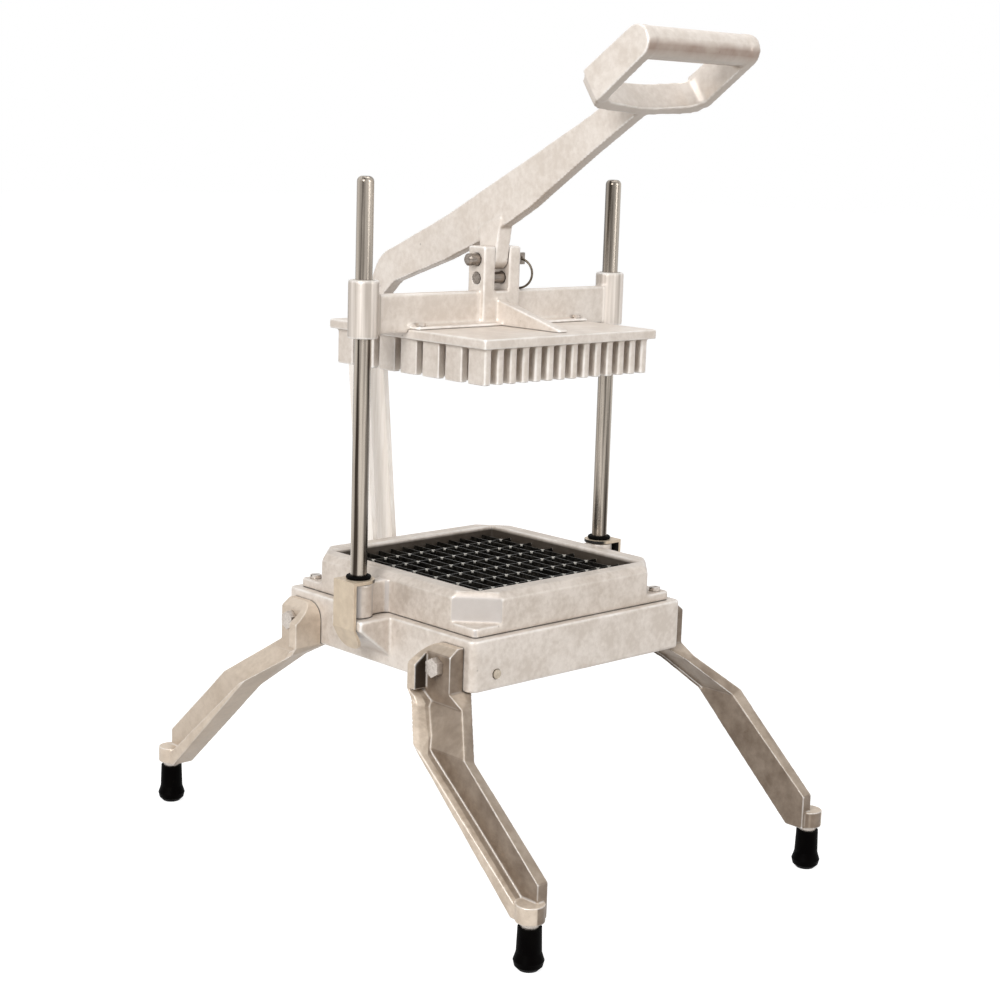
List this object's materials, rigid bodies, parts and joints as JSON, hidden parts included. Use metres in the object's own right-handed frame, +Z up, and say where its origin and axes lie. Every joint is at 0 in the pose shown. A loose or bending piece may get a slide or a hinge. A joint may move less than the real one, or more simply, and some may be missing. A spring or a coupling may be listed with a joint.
{
  "type": "lettuce cutter",
  "caption": "Bench lettuce cutter: a lever drives a guided finger block down through a blade grid set in a cast frame on splayed legs, so that cut leaves fall into a pan below.",
  "frame": {"origin": "On the floor under the middle of the base, at the centre of the feet.", "axes": "+Z up, +X to the right seen from the front, +Y to the rear. The handle points to the front."},
  "size_m": [0.326, 0.459, 0.6363],
  "materials": {
    "cast_aluminium": "sand cast, tumbled",
    "leg_casting": "sand cast, dull",
    "steel": "drawn, satin",
    "clip_steel": "satin",
    "blade_steel": "dark, fine ground",
    "bush": "machined bronze",
    "black_rubber": "moulded, semi-matt"
  },
  "bodies": {
    "base": {"base_frame": "cast_aluminium", "front_plug": "steel", "blade_frame": "cast_aluminium", "frame_screws": "steel", "leg_front_left": "leg_casting", "leg_front_right": "leg_casting", "leg_rear_left": "leg_casting", "leg_rear_right": "leg_casting", "leg_bolts": "steel", "leg_nuts": "steel", "foot_studs": "steel", "foot_front_left": "black_rubber", "foot_front_right": "black_rubber", "foot_rear_left": "black_rubber", "foot_rear_right": "black_rubber", "long_blades": "blade_steel", "cross_blades": "blade_steel", "blade_rods": "steel", "left_guide_rod": "steel", "right_guide_rod": "steel", "left_bumper": "black_rubber", "right_bumper": "black_rubber", "left_frame_clip": "clip_steel", "right_frame_clip": "clip_steel", "link_bottom_pin": "steel", "pin_retainers": "steel"},
    "pusher": {"pusher_head": "cast_aluminium", "left_bush": "bush", "right_bush": "bush", "pusher_block": "cast_aluminium", "block_screws": "steel", "cross_pin": "steel"},
    "lever": {"lever": "cast_aluminium"},
    "link": {"left_link_bar": "cast_aluminium", "right_link_bar": "cast_aluminium", "link_top_bolts": "steel"},
    "release_pin": {"release_pin": "steel", "detent_ball": "steel"},
    "pin_ring": {"pin_ring": "steel"}
  },
  "joints": [
    {"name": "pusher_slide", "type": "slide", "parent": "base", "child": "pusher", "axis": [0, 0, 1], "range_m": [-0.1765, 0]},
    {"name": "lever_pivot", "type": "hinge", "parent": "pusher", "child": "lever", "pos_m": [0, 0, 0.4669], "axis": [1, 0, 0], "range_deg": [0, 64.2]},
    {"name": "link_pivot", "type": "hinge", "parent": "base", "child": "link", "pos_m": [0, 0.132, 0.185], "axis": [1, 0, 0], "range_deg": [0, 7.5]},
    {"name": "release_pin_slide", "type": "slide", "parent": "pusher", "child": "release_pin", "axis": [1, 0, 0], "range_m": [0, 0.055]},
    {"name": "ring_swing", "type": "hinge", "parent": "release_pin", "child": "pin_ring", "pos_m": [0.0261, 0, 0.4669], "axis": [0.3987, -0.9171, 0], "range_deg": [0, 110]}
  ],
  "couplings": [
    {"joint": "lever_pivot", "follows": "pusher_slide", "rad_per_m": -6.3412},
    {"joint": "link_pivot", "follows": "pusher_slide", "rad_per_m": -0.72866}
  ]
}
